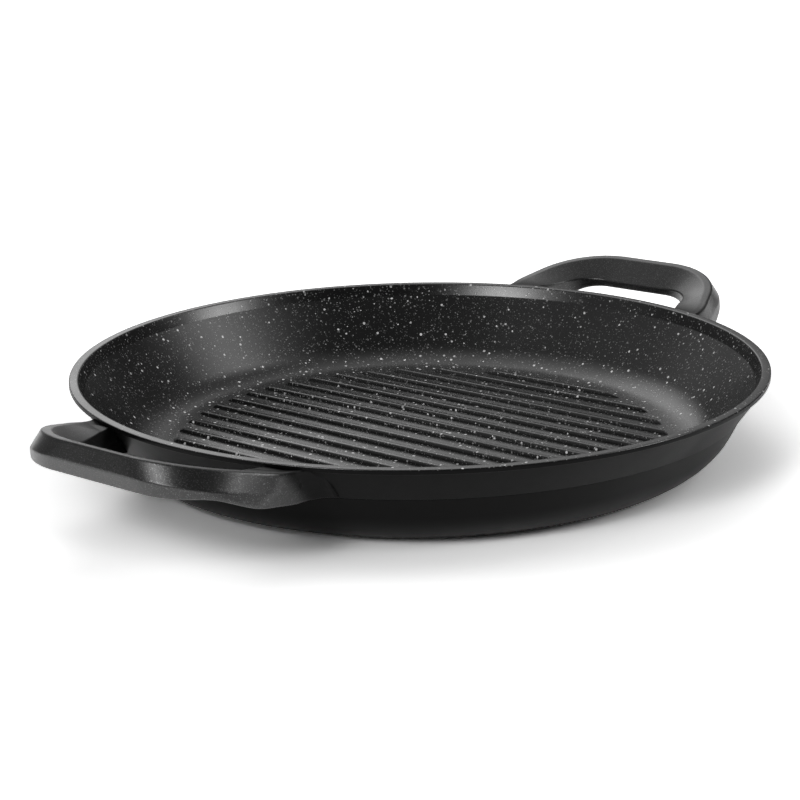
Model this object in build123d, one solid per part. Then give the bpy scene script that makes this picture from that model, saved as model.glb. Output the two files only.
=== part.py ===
from build123d import *
import math
import os

# Grill pan: a cast bowl with a ribbed floor, two cast loop handles screwed to its lugs from
# below, and a pierced steel plate let into the base. Millimetres, +Z up.
# The origin is the centre of the flat base. The handles point along -X (front) and +X (rear),
# and the ribs run along Y.

# Bowl, turned about Z: depths are below the rim
rim_radius = 160.0
bowl_height = 41.2
rim_width = 4.2
rim_lip_height = 2.2
rim_overhang = 1.4
rim_edge_round = 0.5
parting_depth = 16.0
parting_step = 0.3
upper_wall_run = 9.5
lower_wall_run = 12.6
base_round = 28.4
band_depth = 5.6
band_draft = 2.5
band_round = 2.0
corner_thickness = 8.0
floor_round = 24.0
floor_thickness = 4.0

# Grill ribs
rib_pitch = 12.85
rib_count = 18
rib_height = 2.4
rib_crest_width = 2.4
rib_root_width = 3.4
rib_crest_round = 0.6
rib_field_margin = 13.0
rib_end_slope = 2.6

# Loop handles: the lip climbs outwards from the rim, and the side walls flare below it.
# Places along the handle are measured outwards from the rim, and half widths from its middle.
# The flares say how much wider the bulge and the skirt are than the lip.
# The corner shares give each corner's round as a share of the run from the knee to the end.
handle_lift_angle = 14.25
handle_reach = 42.4
handle_half_width = 58.0
lip_knee = 1.0
lip_taper_width = 15.0
lip_corner_share = 0.966
lip_width = 3.7
bulge_depth = 8.0
bulge_end_flare = 2.4
bulge_side_flare = 0.8
bulge_corner_flare = 4.4
bulge_knee = 6.0
bulge_corner_share = 0.876
skirt_depth = 15.0
skirt_end_tuck = 0.4
skirt_side_flare = 0.3
skirt_corner_flare = 7.0
skirt_knee = 13.0
skirt_corner_share = 1.1
knee_round = 30.0
foot_width = 6.5
foot_thickness = 0.4
foot_round = 9.0
lip_edge_round = 0.8
skirt_edge_round = 0.8
round_start = -20.0

# Side view of the handle's underside, as depths below the rim
grip_depth = 3.4
grip_length = 12.0
haunch_depth = 10.8
haunch_length = 28.4
root_depth = 15.6
root_start = -11.0
grip_round = 25.0
haunch_round = 40.0

# Finger slot and the dished face that leads down to it
end_width = 13.6
arm_width = 16.6
slot_taper_width = 9.4
slot_corner_round = 20.0
slot_edge_drop = 1.35
slot_edge_round = 0.8
dish_setback = 5.0
dish_lap = 0.6
dish_corner_round = 22.0

# Lugs on the wall, and the screws and washers that hold the handles on them
seat_gap = 0.25
lug_inset = 8.4
lug_width = 8.0
lug_height = 4.6
lug_drop = 4.2
lug_reach = 3.5
lug_round = 1.5
lug_bite = 0.5
socket_gap = 0.2
screw_setback = 4.0
screw_diameter = 4.0
screw_gap = 0.1
screw_end_gap = 0.4
screw_head_diameter = 7.0
screw_head_height = 2.2
screw_edge_round = 0.4
screw_key_width = 2.5
screw_key_depth = 1.2
washer_diameter = 7.6
washer_thickness = 0.6
counterbore_gap = 0.3
counterbore_roof = 1.6

# Steel plate in the base, with holes that fit over studs of the casting
plate_margin = 38.5
plate_thickness = 0.8
plate_gap = 0.1
plate_border = 8.0
stud_radius = 3.4
stud_ring_step = 21.0
first_ring_count = 6

# One overrun serves all cuts
overrun = 5.0

# Worked out from the sizes above
rim_z = bowl_height
floor_z = floor_thickness
parting_radius = rim_radius - rim_overhang - upper_wall_run
base_corner_radius = parting_radius - lower_wall_run
floor_corner_radius = base_corner_radius - corner_thickness
rib_field_radius = floor_corner_radius - rib_field_margin
plate_radius = base_corner_radius - plate_margin
lift = math.radians(handle_lift_angle)
inside_start = -8 * overrun
lip_corner_half_width = handle_half_width - lip_taper_width
bulge_reach = handle_reach + bulge_end_flare
skirt_reach = handle_reach - skirt_end_tuck
lip_corner_round = lip_corner_share * (handle_reach - lip_knee)
bulge_corner_round = bulge_corner_share * (bulge_reach - bulge_knee)
skirt_corner_round = skirt_corner_share * (skirt_reach - skirt_knee)
slot_reach = handle_reach - end_width
slot_half_width = handle_half_width - arm_width
slot_splay = slot_taper_width / slot_reach
lug_offset = handle_half_width - lug_inset
screw_x = rim_radius - screw_setback
socket_floor_z = rim_z - lug_drop - lug_height
washer_z = socket_floor_z - counterbore_roof


def rounded(face, place, radius):
    """Round the corner of a flat face that lies nearest to a place."""
    corner = min(face.vertices(), key=lambda v: (v.center() - Vector(*place)).length)
    return fillet(corner, radius)


def bowl_outer_points(gap):
    """Outside of the bowl, from the centre of the base up to the rim, grown by a gap."""
    under_rim = rim_z - rim_lip_height - gap
    return [
        (0, -gap),
        (base_corner_radius + gap, -gap),
        (parting_radius - parting_step + gap, rim_z - parting_depth),
        (parting_radius + gap, rim_z - parting_depth),
        (rim_radius - rim_overhang + gap, under_rim),
        (rim_radius + gap, under_rim),
        (rim_radius + gap, rim_z),
    ]


def bowl_envelope(gap):
    """The bowl's outer shape, filled in and grown by a gap, to cut what sits against the wall."""
    points = bowl_outer_points(gap)
    top = 2 * rim_z
    face = make_face(Polyline(*points, (rim_radius + gap, top), (0, top), close=True))
    face = rounded(face, points[1], base_round)
    return revolve(Plane.XZ * face, Axis.Z)


def bowl_shell():
    """The turned shape of the bowl: base, wall, rim and the band inside the rim."""
    outer = bowl_outer_points(0)
    inner = [
        (rim_radius - rim_width, rim_z),
        (rim_radius - rim_width - band_draft, rim_z - band_depth),
        (floor_corner_radius, floor_z),
        (0, floor_z),
    ]
    face = make_face(Polyline(*outer, *inner, close=True))
    face = rounded(face, outer[1], base_round)
    face = rounded(face, outer[6], rim_edge_round)
    face = rounded(face, inner[0], 2 * rim_edge_round)
    face = rounded(face, inner[1], band_round)
    face = rounded(face, inner[2], floor_round)
    return revolve(Plane.XZ * face, Axis.Z)


def grill_ribs():
    """Parallel ribs across the floor, cut to one round field with sloped ends."""
    half_root = rib_root_width / 2
    half_crest = rib_crest_width / 2
    section = make_face(Polyline(
        (-half_root, -rib_crest_round),
        (half_root, -rib_crest_round),
        (half_root, 0),
        (half_crest, rib_height),
        (-half_crest, rib_height),
        (-half_root, 0),
        close=True,
    ))
    section = rounded(section, (half_crest, rib_height), rib_crest_round)
    section = rounded(section, (-half_crest, rib_height), rib_crest_round)
    end_slope = rib_end_slope / rib_height
    field_height = rib_height + rib_crest_round
    field = Cone(
        rib_field_radius + end_slope * rib_crest_round,
        rib_field_radius - end_slope * rib_height,
        field_height,
        align=(Align.CENTER, Align.CENTER, Align.MIN),
    )
    field = Pos(0, 0, floor_z - rib_crest_round) * field
    ribs = []
    for index in range(rib_count):
        offset = (index - (rib_count - 1) / 2) * rib_pitch
        plane = Plane(origin=(offset, rim_radius, floor_z), x_dir=(1, 0, 0), z_dir=(0, -1, 0))
        ribs.append(extrude(plane * section, 2 * rim_radius) & field)
    return ribs


def handle_lug(side):
    """A lug that stands out from the wall inside one arm of the rear handle, bored for its screw."""
    tip = rim_radius + lug_reach
    length = tip - (rim_radius - overrun * 5)
    block = Box(length, lug_width, lug_height, align=(Align.MAX, Align.CENTER, Align.MAX))
    block = fillet(block.edges().filter_by(Axis.Z).group_by(Axis.X)[-1], lug_round)
    block = Pos(tip, side * lug_offset, rim_z - lug_drop) * block
    bore = Cylinder(screw_diameter / 2 + screw_gap, 4 * lug_height)
    block -= Pos(screw_x, side * lug_offset, rim_z - lug_drop) * bore
    return block - bowl_envelope(-lug_bite)


def stud_places():
    """Centres of the base studs, ring by ring."""
    places = []
    ring_count = int((plate_radius - plate_border) / stud_ring_step)
    for ring in range(1, ring_count + 1):
        count = first_ring_count * ring
        for index in range(count):
            place = Vector(ring * stud_ring_step, 0).rotate(Axis.Z, 360 * index / count)
            places.append(Pos(place.X, place.Y, 0))
    return places


def disc(radius, thickness):
    """A flat disc that stands on the plane of the base."""
    return Cylinder(radius, thickness, align=(Align.CENTER, Align.CENTER, Align.MIN))


def pan_body():
    """The cast bowl with its ribs and lugs, and the recess and studs for the base plate."""
    body = bowl_shell() + grill_ribs()
    lugs = [handle_lug(1), handle_lug(-1)]
    body += lugs
    body += [Rot(0, 0, 180) * piece for piece in lugs]
    stud = disc(stud_radius - plate_gap, plate_thickness)
    recess = disc(plate_radius + plate_gap, plate_thickness)
    recess -= [place * stud for place in stud_places()]
    return body - recess


def induction_plate():
    """The steel plate, flush with the base and pierced for the studs."""
    hole = disc(stud_radius, plate_thickness)
    return disc(plate_radius, plate_thickness) - [place * hole for place in stud_places()]


def lip_plane(depth):
    """The sloping plane of the handle's lip, or one that lies this far below it."""
    plane = Plane(
        origin=(rim_radius, 0, rim_z),
        x_dir=(math.cos(lift), 0, math.sin(lift)),
        z_dir=(-math.sin(lift), 0, math.cos(lift)),
    )
    return plane.offset(-depth)


def mirrored_face(half):
    """A closed face from half an outline, given as along, half width and corner radius."""
    points = [(x, -y) for x, y, _ in half] + [(x, y) for x, y, _ in reversed(half)]
    face = make_face(Polyline(*points, close=True))
    for x, y, radius in half:
        if radius > 0:
            face = rounded(face, (x, -y), radius)
            face = rounded(face, (x, y), radius)
    return face


def handle_section(depth, wall_radius, half_width, knee, reach, corner_half_width, corner_round):
    """The handle's outline at one depth below its lip, with a foot that spreads along the wall."""
    wall = math.sqrt(wall_radius ** 2 - half_width ** 2) + foot_thickness - rim_radius
    foot_half_width = half_width + foot_width
    foot = math.sqrt(wall_radius ** 2 - foot_half_width ** 2) + foot_thickness - rim_radius
    half = [
        (foot + inside_start, foot_half_width, 0),
        (foot, foot_half_width, 0),
        (wall, half_width, foot_round),
        (knee, half_width, knee_round),
        (reach, corner_half_width, corner_round),
    ]
    along = [((x - depth * math.sin(lift)) / math.cos(lift), y, radius) for x, y, radius in half]
    return lip_plane(depth) * mirrored_face(along)


def wall_radius_at(depth):
    """Radius of the bowl's outer wall at a depth below the rim, above the parting line."""
    share = (depth - rim_lip_height) / (parting_depth - rim_lip_height)
    top = rim_radius - rim_overhang
    return top + share * (parting_radius - top)


def handle_blank():
    """The handle's outer shape: lip, flared side walls and underside, with rounded edges."""
    lip = handle_section(
        0, wall_radius_at(rim_lip_height), handle_half_width, lip_knee,
        handle_reach, lip_corner_half_width, lip_corner_round,
    )
    bulge = handle_section(
        bulge_depth, wall_radius_at(bulge_depth), handle_half_width + bulge_side_flare, bulge_knee,
        bulge_reach, lip_corner_half_width + bulge_corner_flare, bulge_corner_round,
    )
    skirt = handle_section(
        skirt_depth, wall_radius_at(skirt_depth), handle_half_width + skirt_side_flare, skirt_knee,
        skirt_reach, lip_corner_half_width + skirt_corner_flare, skirt_corner_round,
    )
    return loft([lip, bulge, skirt], ruled=True)


def underside_cutter():
    """All that lies below the handle's underside, from its side view."""
    haunch_start = handle_reach - haunch_length
    slope = (root_depth - haunch_depth) / (haunch_start - root_start)
    far_depth = root_depth + slope * (root_start - inside_start)
    points = [
        (rim_radius + inside_start, rim_z - far_depth),
        (rim_radius + haunch_start, rim_z - haunch_depth),
        (rim_radius + handle_reach - grip_length, rim_z - grip_depth),
        (rim_radius + handle_reach + overrun, rim_z - grip_depth),
    ]
    floor = [(points[3][0], -overrun), (points[0][0], -overrun)]
    face = make_face(Polyline(*points, *floor, close=True))
    face = rounded(face, points[1], haunch_round)
    face = rounded(face, points[2], grip_round)
    return extrude(Plane.XZ * face, rim_radius, both=True)


def slot_cutter():
    """The finger slot, straight down through the handle."""
    face = mirrored_face([
        (inside_start, slot_half_width - slot_splay * inside_start, 0),
        (slot_reach, slot_half_width - slot_taper_width, slot_corner_round),
    ])
    return extrude(Pos(rim_radius, 0, 0) * face, 2 * rim_z)


def dish_cutter():
    """The dished inner face that falls from the lip's inner crease to the slot's upper edge."""
    plane = lip_plane(0)
    crease = mirrored_face([
        (-dish_setback / math.cos(lift), handle_half_width - lip_width, 0),
        (lip_knee / math.cos(lift), handle_half_width - lip_width, knee_round - lip_width),
        (handle_reach / math.cos(lift) - lip_width, lip_corner_half_width - lip_width,
         lip_corner_round - lip_width),
    ])
    edge = mirrored_face([
        (-dish_setback, slot_half_width + slot_splay * dish_setback - dish_lap, 0),
        (0, slot_half_width - dish_lap, knee_round),
        (slot_reach - dish_lap, slot_half_width - slot_taper_width - dish_lap, dish_corner_round),
    ])
    dish = loft([plane * crease, Pos(rim_radius, 0, rim_z - slot_edge_drop) * edge], ruled=True)
    return dish + extrude(plane * crease, overrun)


def past_wall(edges):
    """The edges that lie clear of the bowl's wall, where the handle shows."""
    return [edge for edge in edges if edge.center().X > rim_radius + round_start]


def handle_outside():
    """The handle's outer shape, cut along its underside, with its outer edges rounded."""
    blank = handle_blank()
    cutter = underside_cutter()
    shape = blank - cutter
    shape = fillet(past_wall(new_edges(blank, cutter, combined=shape)), skirt_edge_round)
    top = shape.faces().sort_by(Axis((0, 0, 0), lip_plane(0).z_dir))[-1]
    return fillet(past_wall(top.edges()), lip_edge_round)


def lug_socket(side):
    """The pocket that slides over a lug. The lug's flat underside rests on its floor."""
    tip = rim_radius + lug_reach + socket_gap
    length = tip - (rim_radius + inside_start)
    width = lug_width + 2 * socket_gap
    height = lug_height + socket_gap
    block = Box(length, width, height, align=(Align.MAX, Align.CENTER, Align.MIN))
    block = fillet(block.edges().filter_by(Axis.Z).group_by(Axis.X)[-1], lug_round + socket_gap)
    return Pos(tip, side * lug_offset, socket_floor_z) * block


def screw_bore(side):
    """The screw's clearance hole through the socket floor, and the counterbore below it."""
    below = (Align.CENTER, Align.CENTER, Align.MAX)
    above = (Align.CENTER, Align.CENTER, Align.MIN)
    bore = Cylinder(screw_diameter / 2 + screw_gap, counterbore_roof, align=above)
    bore += Cylinder(washer_diameter / 2 + counterbore_gap, washer_z, align=below)
    return Pos(screw_x, side * lug_offset, washer_z) * bore


def loop_handle():
    """The rear handle, with its dished face, its finger slot and its seats on wall and lugs."""
    shape = handle_outside() - dish_cutter()
    cutter = slot_cutter()
    slotted = shape - cutter
    lower_edges = [
        edge for edge in past_wall(new_edges(shape, cutter, combined=slotted))
        if edge.center().Z < rim_z - grip_depth
    ]
    slotted = fillet(lower_edges, slot_edge_round)
    slotted -= bowl_envelope(seat_gap)
    for side in (1, -1):
        slotted -= lug_socket(side)
        slotted -= screw_bore(side)
    return slotted


def at_each_lug(piece):
    """Copies of a piece on the axes of all the lugs, two at the rear handle and two at the front."""
    rear = [Pos(screw_x, side * lug_offset, 0) * piece for side in (1, -1)]
    return rear + [Rot(0, 0, 180) * copy for copy in rear]


def handle_screw():
    """A screw that stands head down, with a hex key recess, reaching up through its lug."""
    head_z = washer_z - washer_thickness - screw_head_height
    tip_z = socket_floor_z + lug_height - screw_end_gap
    standing = (Align.CENTER, Align.CENTER, Align.MIN)
    head = Cylinder(screw_head_diameter / 2, screw_head_height, align=standing)
    head = fillet(head.edges().group_by(Axis.Z)[0], screw_edge_round)
    shank = Cylinder(screw_diameter / 2, tip_z - head_z, align=standing)
    shank = chamfer(shank.edges().group_by(Axis.Z)[-1], screw_edge_round)
    key_face = RegularPolygon(screw_key_width / 2, 6, major_radius=False)
    return Pos(0, 0, head_z) * (head + shank - extrude(key_face, screw_key_depth))


def screw_washer():
    """The flat washer between a screw head and the roof of its counterbore."""
    standing = (Align.CENTER, Align.CENTER, Align.MAX)
    ring = Cylinder(washer_diameter / 2, washer_thickness, align=standing)
    ring -= Cylinder(screw_diameter / 2 + screw_gap, washer_thickness, align=standing)
    return Pos(0, 0, washer_z) * ring


if __name__ == "__main__":
    os.makedirs("parts", exist_ok=True)
    rear_handle = loop_handle()
    export_step(pan_body(), "parts/pan_body.step")
    export_step(rear_handle, "parts/rear_handle.step")
    export_step(Rot(0, 0, 180) * rear_handle, "parts/front_handle.step")
    export_step(induction_plate(), "parts/induction_plate.step")
    export_step(Compound(at_each_lug(handle_screw())), "parts/handle_screws.step")
    export_step(Compound(at_each_lug(screw_washer())), "parts/screw_washers.step")
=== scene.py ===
import logging
import math
from contextlib import contextmanager
from dataclasses import dataclass, field
from enum import Enum
from typing import Callable, Iterator

import bmesh
import bpy
from mathutils import Matrix, Vector


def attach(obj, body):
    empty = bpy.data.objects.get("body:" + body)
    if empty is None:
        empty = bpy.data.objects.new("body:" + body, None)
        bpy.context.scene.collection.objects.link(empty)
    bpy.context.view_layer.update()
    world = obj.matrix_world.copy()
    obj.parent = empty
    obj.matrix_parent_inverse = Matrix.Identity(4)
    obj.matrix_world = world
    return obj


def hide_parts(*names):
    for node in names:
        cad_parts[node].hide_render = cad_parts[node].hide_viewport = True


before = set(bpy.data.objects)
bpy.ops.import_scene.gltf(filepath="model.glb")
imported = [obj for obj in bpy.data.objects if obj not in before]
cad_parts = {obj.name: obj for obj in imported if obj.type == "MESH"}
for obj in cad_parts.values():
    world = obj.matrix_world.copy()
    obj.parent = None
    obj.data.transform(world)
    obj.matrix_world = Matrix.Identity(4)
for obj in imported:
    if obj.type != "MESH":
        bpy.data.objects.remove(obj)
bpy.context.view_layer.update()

# A round grill pan: a cast bowl with a ribbed floor and two cast loop handles. Metres, +Z up.
# The origin is the centre of the flat base, the handles lie along X and the ribs along Y.

log = logging.getLogger("grill_pan")

# A face whose unit normal has at least this much along an axis faces that way.
FACING = 0.9
# Points of a turned shape that lie closer together than this are one.
MERGED = 0.00001
# Faces that meet at more than this many degrees have a hard edge between them.
CREASE = 35.0


class Shading(Enum):
    """How the faces of a finished piece meet in light."""

    SMOOTH = "smooth all over"
    CREASED = "smooth, with hard edges past an angle"


# ---- modelling helpers


def deselect_all() -> None:
    """Leave nothing selected, so that the next operator acts on its own piece alone."""
    if bpy.context.object and bpy.context.object.mode != "OBJECT":
        bpy.ops.object.mode_set(mode="OBJECT")
    bpy.ops.object.select_all(action="DESELECT")


def take_up(piece: bpy.types.Object) -> None:
    """Make a piece the only selected and the active one.

    Args:
        piece: The object to work on next.
    """
    deselect_all()
    piece.select_set(True)
    bpy.context.view_layer.objects.active = piece


@contextmanager
def editing(piece: bpy.types.Object, mode: str = "VERT") -> Iterator[None]:
    """Hold a piece in edit mode while the block runs.

    Args:
        piece: The mesh object to edit.
        mode: What is selected in edit mode: VERT, EDGE or FACE.
    """
    take_up(piece)
    bpy.ops.object.mode_set(mode="EDIT")
    bpy.ops.mesh.select_mode(type=mode)
    yield
    bpy.ops.object.mode_set(mode="OBJECT")


def pick_faces(piece: bpy.types.Object, wanted: Callable[[Vector, Vector], bool]) -> None:
    """Select the faces of a piece in edit mode by their place and direction.

    Args:
        piece: The object in edit mode.
        wanted: Says of a face's centre and normal whether it is selected.
    """
    mesh = bmesh.from_edit_mesh(piece.data)
    for face in mesh.faces:
        face.select_set(False)
    for face in mesh.faces:
        if wanted(face.calc_center_median(), face.normal):
            face.select_set(True)
    bmesh.update_edit_mesh(piece.data)


def pick_edges(piece: bpy.types.Object, wanted: Callable[[Vector, Vector], bool]) -> None:
    """Select the edges of a piece in edit mode by their two ends.

    Args:
        piece: The object in edit mode.
        wanted: Says of an edge's two ends whether it is selected.
    """
    mesh = bmesh.from_edit_mesh(piece.data)
    for edge in mesh.edges:
        edge.select_set(False)
    for edge in mesh.edges:
        if wanted(edge.verts[0].co, edge.verts[1].co):
            edge.select_set(True)
    mesh.select_flush(True)
    bmesh.update_edit_mesh(piece.data)


def apply_modifier(piece: bpy.types.Object, kind: str, **settings: object) -> None:
    """Add a modifier to a piece and apply it at once.

    Args:
        piece: The mesh object.
        kind: The modifier's type, such as BEVEL.
        settings: Values for the modifier's own properties.
    """
    take_up(piece)
    modifier = piece.modifiers.new(kind.lower(), kind)
    for name, value in settings.items():
        setattr(modifier, name, value)
    bpy.ops.object.modifier_apply(modifier=modifier.name)


def settle(piece: bpy.types.Object, shading: Shading, angle: float = CREASE) -> None:
    """Put a piece's place into its mesh and shade it.

    Args:
        piece: The finished mesh object.
        shading: Smooth all over, or with hard edges.
        angle: The hard edges' least angle, in degrees.
    """
    take_up(piece)
    bpy.ops.object.transform_apply(location=True, rotation=True, scale=True)
    if shading is Shading.SMOOTH:
        bpy.ops.object.shade_smooth()
    else:
        bpy.ops.object.shade_smooth_by_angle(angle=math.radians(angle))


def scatter(piece: bpy.types.Object, places: list[Matrix], name: str) -> bpy.types.Object:
    """Copy a piece to several places and join the copies, each with a mesh of its own.

    Args:
        piece: The mesh object to copy, at the origin. It is removed.
        places: Where the copies go.
        name: The joined piece's name.

    Returns:
        The joined piece.
    """
    copies = []
    for place in places:
        twin = piece.copy()
        twin.data = piece.data.copy()
        bpy.context.scene.collection.objects.link(twin)
        twin.data.transform(place)
        copies.append(twin)
    bpy.data.objects.remove(piece)
    deselect_all()
    for twin in copies:
        twin.select_set(True)
    bpy.context.view_layer.objects.active = copies[0]
    bpy.ops.object.join()
    copies[0].name = name
    return copies[0]


def arc_corner(before: Vector, corner: Vector, after: Vector,
               radius: float, steps: int) -> list[Vector]:
    """Round the corner of a drawn profile.

    Args:
        before: The profile's point before the corner.
        corner: The corner itself.
        after: The profile's point after it.
        radius: The rounding's radius.
        steps: How many straight runs make the arc.

    Returns:
        The arc's points, from the run before the corner to the run after it.
    """
    back = (before - corner).normalized()
    ahead = (after - corner).normalized()
    half = math.acos(max(-1.0, min(1.0, back.dot(ahead)))) / 2
    centre = corner + (back + ahead).normalized() * (radius / math.sin(half))
    reach = radius / math.tan(half)
    first = corner + back * reach - centre
    last = corner + ahead * reach - centre
    turn = math.pi - 2 * half
    points = []
    for index in range(steps + 1):
        share = index / steps
        from_first = math.sin((1 - share) * turn) * first
        from_last = math.sin(share * turn) * last
        points.append(centre + (from_first + from_last) / math.sin(turn))
    return points


# ---- shader helpers


class ShaderBench:
    """Lays out the nodes of one shader tree and joins them."""

    def __init__(self, tree: bpy.types.NodeTree) -> None:
        """Start on a tree, cleared of what it held."""
        self.tree = tree
        tree.nodes.clear()

    def add(self, kind: str, **values: object) -> bpy.types.Node:
        """Add a node.

        Args:
            kind: The node's type, such as ShaderNodeTexNoise.
            values: Its own properties, and its input sockets as feed takes them.

        Returns:
            The new node.
        """
        node = self.tree.nodes.new(kind)
        sockets = {}
        for name, value in values.items():
            if name in node.bl_rna.properties and not name[0].isupper():
                setattr(node, name, value)
            else:
                sockets[name] = value
        self.feed(node, **sockets)
        return node

    def plug(self, socket: bpy.types.NodeSocket, value: object) -> None:
        """Link a socket, or set it.

        Args:
            socket: The input socket.
            value: Another node's output, which is linked, or else the socket's own value.
        """
        if isinstance(value, bpy.types.NodeSocket):
            self.tree.links.new(value, socket)
        else:
            socket.default_value = value

    def feed(self, node: bpy.types.Node, **values: object) -> None:
        """Link or set input sockets of a node.

        Args:
            node: The node.
            values: Its input sockets by name, with underscores for spaces, or as input0, input1
                and so on where several share a name.
        """
        for name, value in values.items():
            counted = name.startswith("input")
            key = int(name.removeprefix("input")) if counted else name.replace("_", " ")
            self.plug(node.inputs[key], value)

    def math(self, operation: str, first: object, second: object = 0.0) -> bpy.types.NodeSocket:
        """Add a math node and return its output."""
        node = self.add("ShaderNodeMath", operation=operation, input0=first, input1=second)
        return node.outputs[0]

    def from_axis(self, place: bpy.types.NodeSocket) -> tuple[bpy.types.NodeSocket, ...]:
        """Measure a place from the pan's upright axis.

        Args:
            place: The place as a vector.

        Returns:
            Its level distance from the axis, and its X, Y and Z.
        """
        axes = self.add("ShaderNodeSeparateXYZ", Vector=place).outputs
        squares = [self.math("POWER", axes[name], 2.0) for name in ("X", "Y")]
        return self.math("SQRT", self.math("ADD", *squares)), axes["X"], axes["Y"], axes["Z"]

    def remap(self, value: bpy.types.NodeSocket, low: float, high: float,
              to_low: float = 0.0, to_high: float = 1.0) -> bpy.types.NodeSocket:
        """Add a clamped smooth map from one range of values to another, and return its output."""
        node = self.add("ShaderNodeMapRange", interpolation_type="SMOOTHSTEP", Value=value,
                        From_Min=low, From_Max=high, To_Min=to_low, To_Max=to_high)
        return node.outputs["Result"]

    def mix(self, share: object, first: object, second: object) -> bpy.types.NodeSocket:
        """Add a mix of two colours and return the mixed colour."""
        node = self.add("ShaderNodeMix", data_type="RGBA",
                        input0=share, input6=first, input7=second)
        return node.outputs[2]


def grey(value: float) -> tuple[float, float, float, float]:
    """An even grey as a linear colour."""
    return (value, value, value, 1.0)


def new_group(name: str, inputs: dict[str, float],
              outputs: tuple[str, ...]) -> tuple[ShaderBench, bpy.types.Node, bpy.types.Node]:
    """Start a shader node group that is laid over places, given to it as Vector.

    Args:
        name: The group's name.
        inputs: Its other inputs, numbers by name with their defaults.
        outputs: The names of its outputs, which are numbers.

    Returns:
        The bench of the group's tree, and the tree's input and output nodes.
    """
    tree = bpy.data.node_groups.new(name, "ShaderNodeTree")
    bench = ShaderBench(tree)
    tree.interface.new_socket("Vector", in_out="INPUT", socket_type="NodeSocketVector")
    for label, default in inputs.items():
        socket = tree.interface.new_socket(label, in_out="INPUT", socket_type="NodeSocketFloat")
        socket.default_value = default
    for label in outputs:
        tree.interface.new_socket(label, in_out="OUTPUT", socket_type="NodeSocketFloat")
    return bench, bench.add("NodeGroupInput"), bench.add("NodeGroupOutput")


# ---- the finishes


@dataclass
class CoatingEffects:
    """The shader groups that the pan's finishes share: flecks, and the grain of a cast face."""

    ragged_scale: float = 2.6
    raggedness: float = 0.14
    ragged_roughness: float = 0.6
    smallest_fleck: float = 0.45
    fleck_edge: tuple[float, float] = (-0.02, 0.06)
    grain_roughness: float = 0.65
    cloud_scale: float = 22.0
    cloud_roughness: float = 0.55
    flecks: bpy.types.NodeTree = field(init=False)
    grain: bpy.types.NodeTree = field(init=False)

    def __post_init__(self) -> None:
        """Build both groups once."""
        self.flecks = self.build_flecks()
        self.grain = self.build_grain()

    def build_flecks(self) -> bpy.types.NodeTree:
        """Build the group that scatters ragged flecks.

        Returns:
            The group. Its Mask is 1 on a fleck, and its Shade differs from fleck to fleck.
        """
        bench, entry, out = new_group(
            "scattered_flecks", {"Scale": 500.0, "Share": 0.2, "Size": 0.3}, ("Mask", "Shade"))
        given = entry.outputs
        ragged = bench.add("ShaderNodeTexNoise", noise_dimensions="3D", Vector=given["Vector"],
                           Scale=bench.math("MULTIPLY", given["Scale"], self.ragged_scale),
                           Detail=1.0, Roughness=self.ragged_roughness).outputs["Fac"]
        cells = bench.add("ShaderNodeTexVoronoi", feature="F1", Vector=given["Vector"],
                          Scale=given["Scale"], Randomness=1.0).outputs
        draw = bench.add("ShaderNodeSeparateColor", Color=cells["Color"]).outputs
        chosen = bench.math("LESS_THAN", draw["Red"], given["Share"])
        width = bench.remap(draw["Green"], 0.0, 1.0, self.smallest_fleck, 1.0)
        width = bench.math("MULTIPLY", given["Size"], width)
        wander = bench.math("SUBTRACT", ragged, 0.5)
        wander = bench.math("MULTIPLY", wander, self.raggedness)
        inside = bench.math("SUBTRACT", width, bench.math("ADD", cells["Distance"], wander))
        mask = bench.math("MULTIPLY", chosen, bench.remap(inside, *self.fleck_edge))
        bench.feed(out, Mask=mask, Shade=draw["Blue"])
        return bench.tree

    def build_grain(self) -> bpy.types.NodeTree:
        """Build the group for the fine orange-peel grain of a coated casting.

        Returns:
            The group. Its Height drives a bump, and its Tone wanders slowly over the piece.
        """
        bench, entry, out = new_group("casting_grain", {"Scale": 1200.0}, ("Height", "Tone"))
        given = entry.outputs
        fine = bench.add("ShaderNodeTexNoise", Vector=given["Vector"], Scale=given["Scale"],
                         Detail=3.0, Roughness=self.grain_roughness)
        slow = bench.add("ShaderNodeTexNoise", Vector=given["Vector"], Scale=self.cloud_scale,
                         Detail=4.0, Roughness=self.cloud_roughness)
        bench.feed(out, Height=fine.outputs["Fac"], Tone=slow.outputs["Fac"])
        return bench.tree


@dataclass(frozen=True)
class Flecks:
    """How one kind of fleck is strewn.

    The scale is in cells to the metre, the share is of the cells that hold a fleck, and the size
    is the largest fleck's reach as a part of its cell.
    """

    scale: float
    share: float
    size: float

    def strew(self, bench: ShaderBench, effects: CoatingEffects, place: bpy.types.NodeSocket,
              share: bpy.types.NodeSocket | None = None) -> bpy.types.bpy_prop_collection:
        """Strew the flecks over a material.

        Args:
            bench: The material's bench.
            effects: The shared shader groups.
            place: The material's object coordinates.
            share: A share of its own from place to place, instead of the even one.

        Returns:
            The outputs Mask and Shade.
        """
        node = bench.add("ShaderNodeGroup", node_tree=effects.flecks, Vector=place,
                         Scale=self.scale, Share=self.share if share is None else share,
                         Size=self.size)
        return node.outputs


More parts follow.
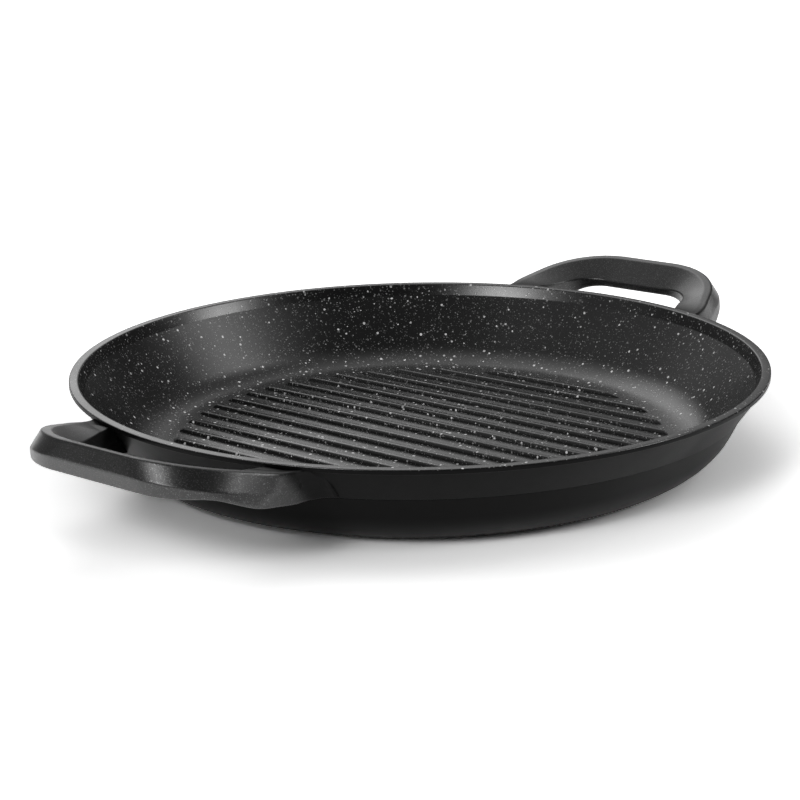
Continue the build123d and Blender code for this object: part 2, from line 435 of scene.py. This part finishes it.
@dataclass(frozen=True)
class CastGrain:
    """The fine grain that breaks up a finish's shine, and the slow clouds in its roughness."""

    scale: float
    roughness: tuple[float, float]
    bump: float
    depth: float = 0.0001
    clouds: tuple[float, float] = (0.3, 0.7)

    def lay(self, bench: ShaderBench, effects: CoatingEffects, surface: bpy.types.Node,
            place: bpy.types.NodeSocket) -> bpy.types.NodeSocket:
        """Lay the clouds into the surface's roughness.

        Args:
            bench: The material's bench.
            effects: The shared shader groups.
            surface: The material's surface shader.
            place: The material's object coordinates.

        Returns:
            The grain's height.
        """
        grain = bench.add("ShaderNodeGroup", node_tree=effects.grain, Vector=place,
                          Scale=self.scale).outputs
        bench.feed(surface, Roughness=bench.remap(grain["Tone"], *self.clouds, *self.roughness))
        return grain["Height"]

    def raise_relief(self, bench: ShaderBench, surface: bpy.types.Node,
                     height: bpy.types.NodeSocket) -> None:
        """Turn a height into the surface's relief.

        Args:
            bench: The material's bench.
            surface: The material's surface shader.
            height: The height, from 0 to 1 for the full depth.
        """
        bump = bench.add("ShaderNodeBump", Strength=self.bump, Distance=self.depth, Height=height)
        bench.feed(surface, Normal=bump.outputs["Normal"])


@dataclass(frozen=True)
class FlaredWall:
    """The bowl's outer wall above its parting line, as a cone that the handles' feet lie on."""

    radius: float = 0.1491
    height: float = 0.0252
    slope: float = 0.688

    def off(self, place: Vector) -> float:
        """How far a place lies outside the wall, measured level."""
        return math.hypot(place.x, place.y) - self.radius - self.slope * (place.z - self.height)

    def shade_off(self, bench: ShaderBench, place: bpy.types.NodeSocket) -> bpy.types.NodeSocket:
        """Measure the same in a material.

        Args:
            bench: The material's bench.
            place: The material's object coordinates.

        Returns:
            The level distance outside the wall.
        """
        across, _, _, up = bench.from_axis(place)
        lean = bench.math("MULTIPLY", bench.math("SUBTRACT", up, self.height), self.slope)
        return bench.math("SUBTRACT", across, bench.math("ADD", lean, self.radius))


def start_material(
    name: str,
) -> tuple[bpy.types.Material, ShaderBench, bpy.types.Node, bpy.types.NodeSocket]:
    """Start a material with its surface shader and its object coordinates.

    Args:
        name: The material's name.

    Returns:
        The material, its bench, the surface shader and the coordinates.
    """
    material = bpy.data.materials.new(name)
    material.use_nodes = True
    bench = ShaderBench(material.node_tree)
    surface = bench.add("ShaderNodeBsdfPrincipled")
    bench.add("ShaderNodeOutputMaterial", Surface=surface.outputs["BSDF"])
    place = bench.add("ShaderNodeTexCoord").outputs["Object"]
    return material, bench, surface, place


@dataclass(frozen=True)
class NonstickFinish:
    """The black non-stick coating inside, with grey and white mineral flecks.

    The white chips lie closer together on the floor than up the wall.
    """

    name: str = "flecked_nonstick"
    black: float = 0.005
    dark_dust: float = 0.0125
    fine_grey: float = 0.14
    pale_grey: float = 0.30
    chip_grey: float = 0.48
    white: float = 0.97
    specular: float = 0.7
    dust: Flecks = Flecks(scale=1050.0, share=0.60, size=0.42)
    flakes: Flecks = Flecks(scale=640.0, share=0.38, size=0.34)
    chips: Flecks = Flecks(scale=400.0, share=0.30, size=0.30)
    wall_chips: float = 0.15
    floor_radius: float = 0.122
    floor_blend: float = 0.014
    grain: CastGrain = CastGrain(scale=1500.0, roughness=(0.20, 0.27), bump=0.35)
    grain_height: float = 0.5
    flake_height: float = 0.4

    def build(self, effects: CoatingEffects) -> bpy.types.Material:
        """Build the material.

        Args:
            effects: The shared shader groups.

        Returns:
            The material.
        """
        material, bench, surface, place = start_material(self.name)
        across = bench.add("ShaderNodeVectorMath", operation="LENGTH", input0=place)
        crowded = bench.remap(across.outputs["Value"],
                              self.floor_radius, self.floor_radius + self.floor_blend,
                              self.chips.share, self.wall_chips)
        flakes = self.flakes.strew(bench, effects, place)
        layers = (
            (self.dust.strew(bench, effects, place), self.dark_dust, self.fine_grey),
            (flakes, self.fine_grey, self.pale_grey),
            (self.chips.strew(bench, effects, place, crowded), self.chip_grey, self.white),
        )
        colour = grey(self.black)
        for flecks, dark, pale in layers:
            tone = bench.mix(flecks["Shade"], grey(dark), grey(pale))
            colour = bench.mix(flecks["Mask"], colour, tone)
        bench.feed(surface, Base_Color=colour, Specular_IOR_Level=self.specular)
        height = self.grain.lay(bench, effects, surface, place)
        relief = bench.math("ADD", bench.math("MULTIPLY", height, self.grain_height),
                            bench.math("MULTIPLY", flakes["Mask"], self.flake_height))
        self.grain.raise_relief(bench, surface, relief)
        return material


@dataclass(frozen=True)
class CastFinish:
    """The matte black coating of a casting's outside."""

    name: str = "cast_black"
    black: float = 0.003
    specular: float = 0.08
    grain: CastGrain = CastGrain(scale=1800.0, roughness=(0.38, 0.46), bump=0.20)

    def build(self, effects: CoatingEffects) -> bpy.types.Material:
        """Build the material.

        Args:
            effects: The shared shader groups.

        Returns:
            The material.
        """
        material, bench, surface, place = start_material(self.name)
        bench.feed(surface, Base_Color=grey(self.black), Specular_IOR_Level=self.specular)
        self.enrich(bench, effects, surface, place)
        height = self.grain.lay(bench, effects, surface, place)
        self.grain.raise_relief(bench, surface, height)
        return material

    def enrich(self, bench: ShaderBench, effects: CoatingEffects, surface: bpy.types.Node,
               place: bpy.types.NodeSocket) -> None:
        """Add what a richer coating has. The plain one has nothing more."""


@dataclass(frozen=True)
class MetallicCastFinish(CastFinish):
    """The handles' coating, with metal flakes, and painted shade at the root by the bowl's wall,
    where flakes and shine are thinned out.
    """

    name: str = "cast_graphite"
    black: float = 0.009
    specular: float = 0.66
    grain: CastGrain = CastGrain(scale=1800.0, roughness=(0.27, 0.35), bump=0.30)
    flake: float = 0.17
    flakes: Flecks = Flecks(scale=3000.0, share=0.5, size=0.6)
    wall: FlaredWall = FlaredWall()
    # Painted shade at the handle's root: within this reach of the bowl's wall the flakes thin out
    # and the shine drops to the level below.
    painted_shade_reach: tuple[float, float] = (0.003, 0.017)
    painted_shade_specular: float = 0.08

    def enrich(self, bench: ShaderBench, effects: CoatingEffects, surface: bpy.types.Node,
               place: bpy.types.NodeSocket) -> None:
        """Strew the metal flakes, and paint shade at the root by thinning them and the shine
        towards the wall.

        Args:
            bench: The material's bench.
            effects: The shared shader groups.
            surface: The material's surface shader.
            place: The material's object coordinates.
        """
        # Painted shade: 0 at the bowl's wall, 1 clear of it; it darkens the flakes and lowers the
        # shine at the handle's root.
        clear_of_painted_shade = bench.remap(self.wall.shade_off(bench, place), *self.painted_shade_reach)
        flakes = self.flakes.strew(bench, effects, place)
        metal = bench.math("MULTIPLY", flakes["Mask"], flakes["Shade"])
        metal = bench.math("MULTIPLY", metal, clear_of_painted_shade)
        colour = bench.mix(metal, grey(self.black), grey(self.flake))
        shine = bench.remap(clear_of_painted_shade, 0.0, 1.0, self.painted_shade_specular, self.specular)
        bench.feed(surface, Base_Color=colour, Metallic=metal, Specular_IOR_Level=shine)


@dataclass(frozen=True)
class SteelFinish:
    """Turned or brushed steel, its fine lines in rings about the pan's axis."""

    name: str
    roughness: tuple[float, float]
    line_colours: tuple[float, float] = (0.4264, 0.5824)
    line_scale: float = 2400.0
    line_roughness: float = 0.7
    line_stretch: float = 0.004
    line_bump: float = 0.25
    line_depth: float = 0.00005
    cloud_scale: float = 900.0

    def build(self, effects: CoatingEffects) -> bpy.types.Material:
        """Build the material.

        Args:
            effects: The shared shader groups.

        Returns:
            The material.
        """
        material, bench, surface, place = start_material(self.name)
        across, along, aside, _ = bench.from_axis(place)
        around = bench.math("MULTIPLY", bench.math("ARCTAN2", aside, along), self.line_stretch)
        rings = bench.add("ShaderNodeCombineXYZ", X=across, Y=around, Z=0.0)
        lines = bench.add("ShaderNodeTexNoise", Vector=rings.outputs["Vector"],
                          Scale=self.line_scale, Detail=3.0,
                          Roughness=self.line_roughness).outputs["Fac"]
        dark, pale = self.line_colours
        bench.feed(surface, Base_Color=bench.mix(lines, grey(dark), grey(pale)), Metallic=1.0)
        grain = CastGrain(self.cloud_scale, self.roughness, self.line_bump, self.line_depth)
        grain.lay(bench, effects, surface, place)
        grain.raise_relief(bench, surface, lines)
        return material


# ---- the pan


@dataclass(frozen=True)
class Corner:
    """A corner of a turned profile, with its rounding's radius and the straight runs in it."""

    x: float
    z: float
    radius: float = 0.0
    steps: int = 0

    @property
    def spot(self) -> Vector:
        """The corner's place in the plane Y = 0."""
        return Vector((self.x, 0.0, self.z))


@dataclass
class PanBowl:
    """The cast bowl: base with recess and studs, flared wall, flat rim, and the floor's ribs."""

    rim_radius: float = 0.160
    height: float = 0.0412
    rim_width: float = 0.0042
    rim_lip_height: float = 0.0022
    rim_overhang: float = 0.0014
    rim_outer_round: float = 0.0005
    rim_inner_round: float = 0.0010
    parting_radius: float = 0.1491
    parting_depth: float = 0.0160
    parting_step: float = 0.0003
    parting_groove: float = 0.0002
    base_corner_radius: float = 0.1365
    base_round: float = 0.0284
    band_depth: float = 0.0056
    band_draft: float = 0.0025
    band_round: float = 0.0020
    floor_corner_radius: float = 0.1285
    floor_round: float = 0.0240
    floor_thickness: float = 0.0040
    recess_radius: float = 0.0981
    recess_depth: float = 0.0008
    turned_steps: int = 288
    turned_crease: float = 40.0
    rib_pitch: float = 0.01285
    rib_count: int = 18
    rib_height: float = 0.0017
    rib_crest_width: float = 0.0028
    rib_root_width: float = 0.0036
    rib_crest_round: float = 0.0007
    rib_foot: float = 0.0005
    rib_field_radius: float = 0.1155
    rib_end_slope: float = 0.0026
    rib_end_round: float = 0.0004
    rib_crease: float = 50.0
    stud_radius: float = 0.0033
    stud_round: float = 0.00015
    stud_sides: int = 28
    stud_ring_step: float = 0.021
    stud_rings: int = 4
    first_ring_count: int = 6

    def profile(self) -> list[Vector]:
        """Lay out the turned profile, from the middle of the base round to the middle of the floor.

        Returns:
            The profile's points in the plane Y = 0.
        """
        rim = self.height
        wall_top = self.rim_radius - self.rim_overhang
        under_rim = rim - self.rim_lip_height
        parting = rim - self.parting_depth
        under_step = self.parting_radius - self.parting_step
        rim_inside = self.rim_radius - self.rim_width
        corners = [
            Corner(0.0, self.recess_depth),
            Corner(self.recess_radius, self.recess_depth),
            Corner(self.recess_radius, 0.0),
            Corner(self.base_corner_radius, 0.0, self.base_round, 14),
            Corner(under_step, parting - self.parting_groove),
            Corner(under_step - self.parting_groove, parting),
            Corner(self.parting_radius, parting, self.parting_step / 3, 3),
            Corner(wall_top, under_rim),
            Corner(self.rim_radius, under_rim, self.rim_outer_round, 3),
            Corner(self.rim_radius, rim, self.rim_outer_round, 4),
            Corner(rim_inside, rim, self.rim_inner_round, 6),
            Corner(rim_inside - self.band_draft, rim - self.band_depth, self.band_round, 8),
            Corner(self.floor_corner_radius, self.floor_thickness, self.floor_round, 16),
            Corner(0.0, self.floor_thickness),
        ]
        points: list[Vector] = []
        for index, corner in enumerate(corners):
            if corner.radius:
                before, after = corners[index - 1].spot, corners[index + 1].spot
                points += arc_corner(before, corner.spot, after, corner.radius, corner.steps)
            else:
                points.append(corner.spot)
        return points

    def turn_shell(self) -> bpy.types.Object:
        """Draw the profile and spin it into the bowl.

        Returns:
            The bowl without its ribs.
        """
        points = self.profile()
        deselect_all()
        bpy.ops.mesh.primitive_plane_add(size=self.floor_thickness, location=points[0])
        shell = bpy.context.object
        shell.name = "pan_bowl"
        with editing(shell):
            bpy.ops.mesh.select_all(action="SELECT")
            bpy.ops.mesh.merge(type="CENTER")
            for start, end in zip(points, points[1:]):
                bpy.ops.mesh.extrude_region_move(TRANSFORM_OT_translate={"value": end - start})
            bpy.ops.mesh.select_all(action="SELECT")
            bpy.ops.mesh.spin(steps=self.turned_steps, angle=2 * math.pi,
                              center=(0, 0, 0), axis=(0, 0, 1))
            bpy.ops.mesh.select_all(action="SELECT")
            bpy.ops.mesh.remove_doubles(threshold=MERGED)
            bpy.ops.mesh.normals_make_consistent(inside=False)
        settle(shell, Shading.CREASED, self.turned_crease)
        return shell

    def inside_of_rim(self, centre: Vector, normal: Vector) -> bool:
        """Tell the coated inside, which ends at the rim's outer edge, from the outside.

        Args:
            centre: A face's centre.
            normal: Its normal.

        Returns:
            Whether the face is coated.
        """
        distance = math.hypot(centre.x, centre.y)
        rather_level = normal.z > 0.5
        on_rim = rather_level and centre.z > self.height - self.rim_outer_round
        inward = normal.x * centre.x + normal.y * centre.y < 0
        over_floor = normal.z > 0.0 and centre.z > self.floor_thickness - self.recess_depth
        within_rim = distance < self.rim_radius - self.rim_width / 2
        on_wall_or_floor = inward or distance < self.floor_corner_radius
        return on_rim or (over_floor and within_rim and on_wall_or_floor)

    def cut_ribs(self) -> bpy.types.Object:
        """Model one rib, copy it across the floor and cut the ribs to their round field.

        Returns:
            All ribs as one piece.
        """
        height = self.rib_height + self.rib_foot
        middle = self.floor_thickness - self.rib_foot + height / 2
        deselect_all()
        bpy.ops.mesh.primitive_cube_add(size=1.0, location=(0, 0, middle))
        rib = bpy.context.object
        rib.scale = (self.rib_root_width, 2 * self.rim_radius, height)
        bpy.ops.object.transform_apply(location=True, scale=True)
        top = self.floor_thickness + self.rib_height
        with editing(rib, "FACE"):
            pick_faces(rib, lambda centre, normal: normal.z > FACING)
            bpy.ops.transform.resize(value=(self.rib_crest_width / self.rib_root_width, 1, 1))
            bpy.ops.mesh.select_mode(type="EDGE")
            pick_edges(rib, lambda a, b: (min(a.z, b.z) > top - self.rib_foot / 2
                                          and abs(a.y - b.y) > self.rim_radius))
            bpy.ops.mesh.bevel(offset=self.rib_crest_round, segments=5)
        settle(rib, Shading.CREASED)
        first = -(self.rib_count - 1) / 2 * self.rib_pitch
        places = [Matrix.Translation((first + index * self.rib_pitch, 0, 0))
                  for index in range(self.rib_count)]
        ribs = scatter(rib, places, "grill_ribs")
        cutter = self.rib_cutter()
        apply_modifier(ribs, "BOOLEAN", operation="INTERSECT", object=cutter, solver="EXACT")
        bpy.data.objects.remove(cutter)
        apply_modifier(ribs, "BEVEL", width=self.rib_end_round, segments=3, limit_method="ANGLE",
                       angle_limit=math.radians(CREASE))
        settle(ribs, Shading.CREASED, self.rib_crease)
        return ribs

    def rib_cutter(self) -> bpy.types.Object:
        """Add the cone that cuts the ribs to a round field with sloped ends.

        Returns:
            The cone, to be removed after the cut.
        """
        slope = self.rib_end_slope / self.rib_height
        margin = 2 * self.rib_foot
        deselect_all()
        bpy.ops.mesh.primitive_cone_add(
            vertices=self.turned_steps,
            radius1=self.rib_field_radius + slope * margin,
            radius2=self.rib_field_radius - slope * (self.rib_height + margin),
            depth=self.rib_height + 2 * margin,
            location=(0, 0, self.floor_thickness + self.rib_height / 2),
        )
        return bpy.context.object

    def stand_studs(self) -> bpy.types.Object:
        """Model one base stud and copy it to its rings.

        Returns:
            All studs as one piece.
        """
        deselect_all()
        bpy.ops.mesh.primitive_cylinder_add(vertices=self.stud_sides, radius=self.stud_radius,
                                            depth=self.recess_depth * 2,
                                            location=(0, 0, self.recess_depth))
        stud = bpy.context.object
        bpy.ops.object.transform_apply(location=True)
        with editing(stud, "FACE"):
            pick_faces(stud, lambda centre, normal: normal.z < -FACING)
            bpy.ops.mesh.bevel(offset=self.stud_round, segments=2)
        places = [
            Matrix.Rotation(2 * math.pi * index / (self.first_ring_count * ring), 4, "Z")
            @ Matrix.Translation((ring * self.stud_ring_step, 0, 0))
            for ring in range(1, self.stud_rings + 1)
            for index in range(self.first_ring_count * ring)
        ]
        studs = scatter(stud, places, "base_studs")
        settle(studs, Shading.CREASED)
        return studs

    def build(self, inside: bpy.types.Material,
              outside: bpy.types.Material) -> list[bpy.types.Object]:
        """Build and dress the bowl, its ribs and its base studs.

        Args:
            inside: The coating of the cooking face and rim.
            outside: The finish of the outer wall and base.

        Returns:
            The finished pieces.
        """
        shell = self.turn_shell()
        shell.data.materials.append(outside)
        shell.data.materials.append(inside)
        for face in shell.data.polygons:
            face.material_index = int(self.inside_of_rim(face.center, face.normal))
        ribs = self.cut_ribs()
        ribs.data.materials.append(inside)
        studs = self.stand_studs()
        studs.data.materials.append(outside)
        for piece in (shell, ribs, studs):
            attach(piece, "root")
            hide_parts("pan_body")
        return [shell, ribs, studs]


@dataclass
class LoopHandle:
    """A cast loop handle, dressed over the solid that carries its screws and seats."""

    node: str
    into_wall: int
    wall: FlaredWall = FlaredWall()
    seat_gap: float = 0.00025
    seat_facing: float = 0.6
    foot_half_width: float = 0.0640
    foot_end_facing: float = 0.8
    foot_bite: float = 0.0010
    foot_rise: float = 0.0026
    foot_reach: float = 0.016
    merged: float = 0.00002
    voxel: float = 0.00045
    smoothing: float = 0.5
    smoothing_rounds: int = 1

    def on_wall_seat(self, centre: Vector, normal: Vector) -> bool:
        """Whether a face is part of the seat that lies along the bowl's flared wall."""
        inward = -(normal.x * centre.x + normal.y * centre.y) / math.hypot(centre.x, centre.y)
        return inward > self.seat_facing and abs(self.wall.off(centre)) < 3 * self.seat_gap

    def on_foot_end(self, centre: Vector, normal: Vector) -> bool:
        """Whether a face is the narrow end of a foot, square to the wall that the foot lies on."""
        return abs(centre.y) > self.foot_half_width and abs(normal.y) > self.foot_end_facing

    def build(self, finish: bpy.types.Material) -> bpy.types.Object:
        """Take the handle's solid, sink its seats and its feet's ends into the wall and dress it.

        A fine remesh and a light smoothing then soften its edges as a casting's are.

        Args:
            finish: The coating of the handle.

        Returns:
            The finished piece.
        """
        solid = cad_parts[self.node]
        piece = bpy.data.objects.new(f"{self.node}_casting", solid.data.copy())
        bpy.context.scene.collection.objects.link(piece)
        with editing(piece):
            bpy.ops.mesh.select_all(action="SELECT")
            bpy.ops.mesh.remove_doubles(threshold=self.merged)
            bpy.ops.mesh.select_mode(type="FACE")
            pick_faces(piece, self.on_wall_seat)
            bpy.ops.transform.shrink_fatten(value=2 * self.seat_gap)
            pick_faces(piece, self.on_foot_end)
            bpy.ops.transform.translate(
                value=(self.into_wall * self.foot_bite, 0.0, self.foot_rise),
                use_proportional_edit=True, proportional_edit_falloff="SMOOTH",
                proportional_size=self.foot_reach)
        apply_modifier(piece, "REMESH", mode="VOXEL", voxel_size=self.voxel, adaptivity=0.0)
        apply_modifier(piece, "SMOOTH", factor=self.smoothing, iterations=self.smoothing_rounds)
        settle(piece, Shading.SMOOTH)
        piece.data.materials.clear()
        piece.data.materials.append(finish)
        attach(piece, "root")
        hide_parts(self.node)
        return piece


@dataclass
class HiddenHardware:
    """The steel below the pan: the plate in the base, and the handles' screws and washers."""

    plate_node: str = "induction_plate"
    fastener_nodes: tuple[str, ...] = ("handle_screws", "screw_washers")

    def dress(self, plate: bpy.types.Material, fasteners: bpy.types.Material) -> None:
        """Give the steel pieces their finishes.

        Args:
            plate: The finish of the base plate.
            fasteners: The finish of the screws and washers.
        """
        finishes = {self.plate_node: plate, **dict.fromkeys(self.fastener_nodes, fasteners)}
        for node, finish in finishes.items():
            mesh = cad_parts[node].data
            mesh.materials.clear()
            mesh.materials.append(finish)


# ---- the studio


@dataclass(frozen=True)
class SoftPanel:
    """One soft light far from the pan, given by its direction as the camera sees the room.

    The bearing, the elevation and the spread are in degrees.
    """

    name: str
    bearing: float
    elevation: float
    spread: float
    strength: float

    def direction(self, forward: Vector) -> Vector:
        """Work out where the light stands.

        Args:
            forward: The camera's level line of sight. Bearings run clockwise from it.

        Returns:
            The unit vector towards the light.
        """
        bearing = math.radians(self.bearing)
        elevation = math.radians(self.elevation)
        rightward = Vector((forward.y, -forward.x, 0.0))
        level = rightward * math.sin(bearing) + forward * math.cos(bearing)
        return level * math.cos(elevation) + Vector((0.0, 0.0, math.sin(elevation)))

    def glow(self, bench: ShaderBench, toward: bpy.types.NodeSocket,
             forward: Vector) -> bpy.types.NodeSocket:
        """Add the light's glow to the world's tree.

        Args:
            bench: The bench of the world's tree.
            toward: The direction looked in.
            forward: The camera's level line of sight.

        Returns:
            The light's strength in that direction, half its full strength at its spread.
        """
        aim = bench.add("ShaderNodeVectorMath", operation="DOT_PRODUCT", label=self.name,
                        input0=toward, input1=self.direction(forward))
        tightness = math.log(2) / (1 - math.cos(math.radians(self.spread)))
        fall = bench.math("MULTIPLY", bench.math("SUBTRACT", aim.outputs["Value"], 1.0), tightness)
        return bench.math("MULTIPLY", bench.math("EXPONENT", fall), self.strength)


@dataclass
class Studio:
    """The pale floor, the soft lights and the camera."""

    floor_size: float = 14.0
    floor_colour: float = 0.85
    floor_shown: float = 2.0
    fill: float = 0.05
    panels: tuple[SoftPanel, ...] = (
        SoftPanel("front_left", 216.0, 33.0, 8.0, 12.5),
        SoftPanel("right", 100.0, 26.0, 7.0, 10.0),
        SoftPanel("back", 6.0, 17.0, 11.0, 0.27),
        SoftPanel("back_high", 348.0, 33.0, 12.0, 1.6),
        SoftPanel("back_left", 326.0, 36.0, 9.0, 1.0),
        SoftPanel("rim_glow", 349.0, 15.0, 5.5, 1.3),
        SoftPanel("left", 262.0, 22.0, 12.0, 0.3),
        SoftPanel("upper_right", 80.0, 45.0, 11.0, 2.3),
        SoftPanel("top", 335.0, 62.0, 26.0, 1.0),
    )
    camera_place: tuple[float, float, float] = (-0.67722, -0.53093, 0.27603)
    camera_aim: tuple[float, float, float] = (-0.00572, 0.00714, 0.02207)
    camera_roll: float = -1.0027
    camera_lens: float = 86.85
    camera_sensor: float = 36.0
    camera_near: float = 0.01

    def lay_floor(self) -> None:
        """Lay the pale floor that the pan stands on."""
        deselect_all()
        bpy.ops.mesh.primitive_plane_add(size=self.floor_size, location=(0, 0, 0))
        floor = bpy.context.object
        floor.name = "studio_floor"
        material = bpy.data.materials.new("pale_floor")
        material.use_nodes = True
        bench = ShaderBench(material.node_tree)
        seen = bench.add("ShaderNodeLightPath").outputs
        shown = bench.math("MAXIMUM", seen["Is Glossy Ray"], seen["Is Transmission Ray"])
        shown = bench.math("MAXIMUM", seen["Is Camera Ray"], shown)
        colour = bench.mix(shown, grey(self.floor_colour), grey(self.floor_shown))
        paint = bench.add("ShaderNodeBsdfDiffuse", Color=colour)
        bench.add("ShaderNodeOutputMaterial", Surface=paint.outputs["BSDF"])
        floor.data.materials.append(material)

    def light_world(self) -> None:
        """Light the scene with a faint even fill and the soft panels."""
        world = bpy.data.worlds.new("studio_air")
        world.use_nodes = True
        bench = ShaderBench(world.node_tree)
        toward = bench.add("ShaderNodeTexCoord").outputs["Generated"]
        sight = Vector(self.camera_aim) - Vector(self.camera_place)
        forward = Vector((sight.x, sight.y, 0.0)).normalized()
        total = self.fill
        for panel in self.panels:
            total = bench.math("ADD", total, panel.glow(bench, toward, forward))
        sky = bench.add("ShaderNodeBackground", Color=grey(1.0), Strength=total)
        bench.add("ShaderNodeOutputWorld", Surface=sky.outputs["Background"])
        bpy.context.scene.world = world

    def set_camera(self) -> None:
        """Place the camera where the photograph was taken from."""
        lens = bpy.data.cameras.new("studio_camera")
        lens.lens = self.camera_lens
        lens.sensor_width = self.camera_sensor
        lens.clip_start = self.camera_near
        camera = bpy.data.objects.new("studio_camera", lens)
        toward = Vector(self.camera_aim) - Vector(self.camera_place)
        turn = toward.to_track_quat("-Z", "Y").to_matrix().to_4x4()
        roll = Matrix.Rotation(math.radians(self.camera_roll), 4, "Z")
        camera.matrix_world = Matrix.Translation(self.camera_place) @ turn @ roll
        bpy.context.scene.collection.objects.link(camera)
        bpy.context.scene.camera = camera

    def build(self) -> None:
        """Set up the whole studio."""
        self.lay_floor()
        self.light_world()
        self.set_camera()
        bpy.context.scene.view_settings.view_transform = "Standard"


def main() -> None:
    """Build the pan and its studio, and log the face count of each dressed piece."""
    logging.basicConfig(level=logging.INFO)
    Studio().build()
    effects = CoatingEffects()
    pieces = PanBowl().build(NonstickFinish().build(effects), CastFinish().build(effects))
    graphite = MetallicCastFinish().build(effects)
    pieces.append(LoopHandle("front_handle", into_wall=1).build(graphite))
    pieces.append(LoopHandle("rear_handle", into_wall=-1).build(graphite))
    turned = SteelFinish("turned_steel", roughness=(0.25, 0.38)).build(effects)
    rougher = SteelFinish("screw_steel", roughness=(0.30, 0.43)).build(effects)
    HiddenHardware().dress(turned, rougher)
    for piece in pieces:
        log.info("%s: %d faces", piece.name, len(piece.data.polygons))


if __name__ == "__main__":
    main()
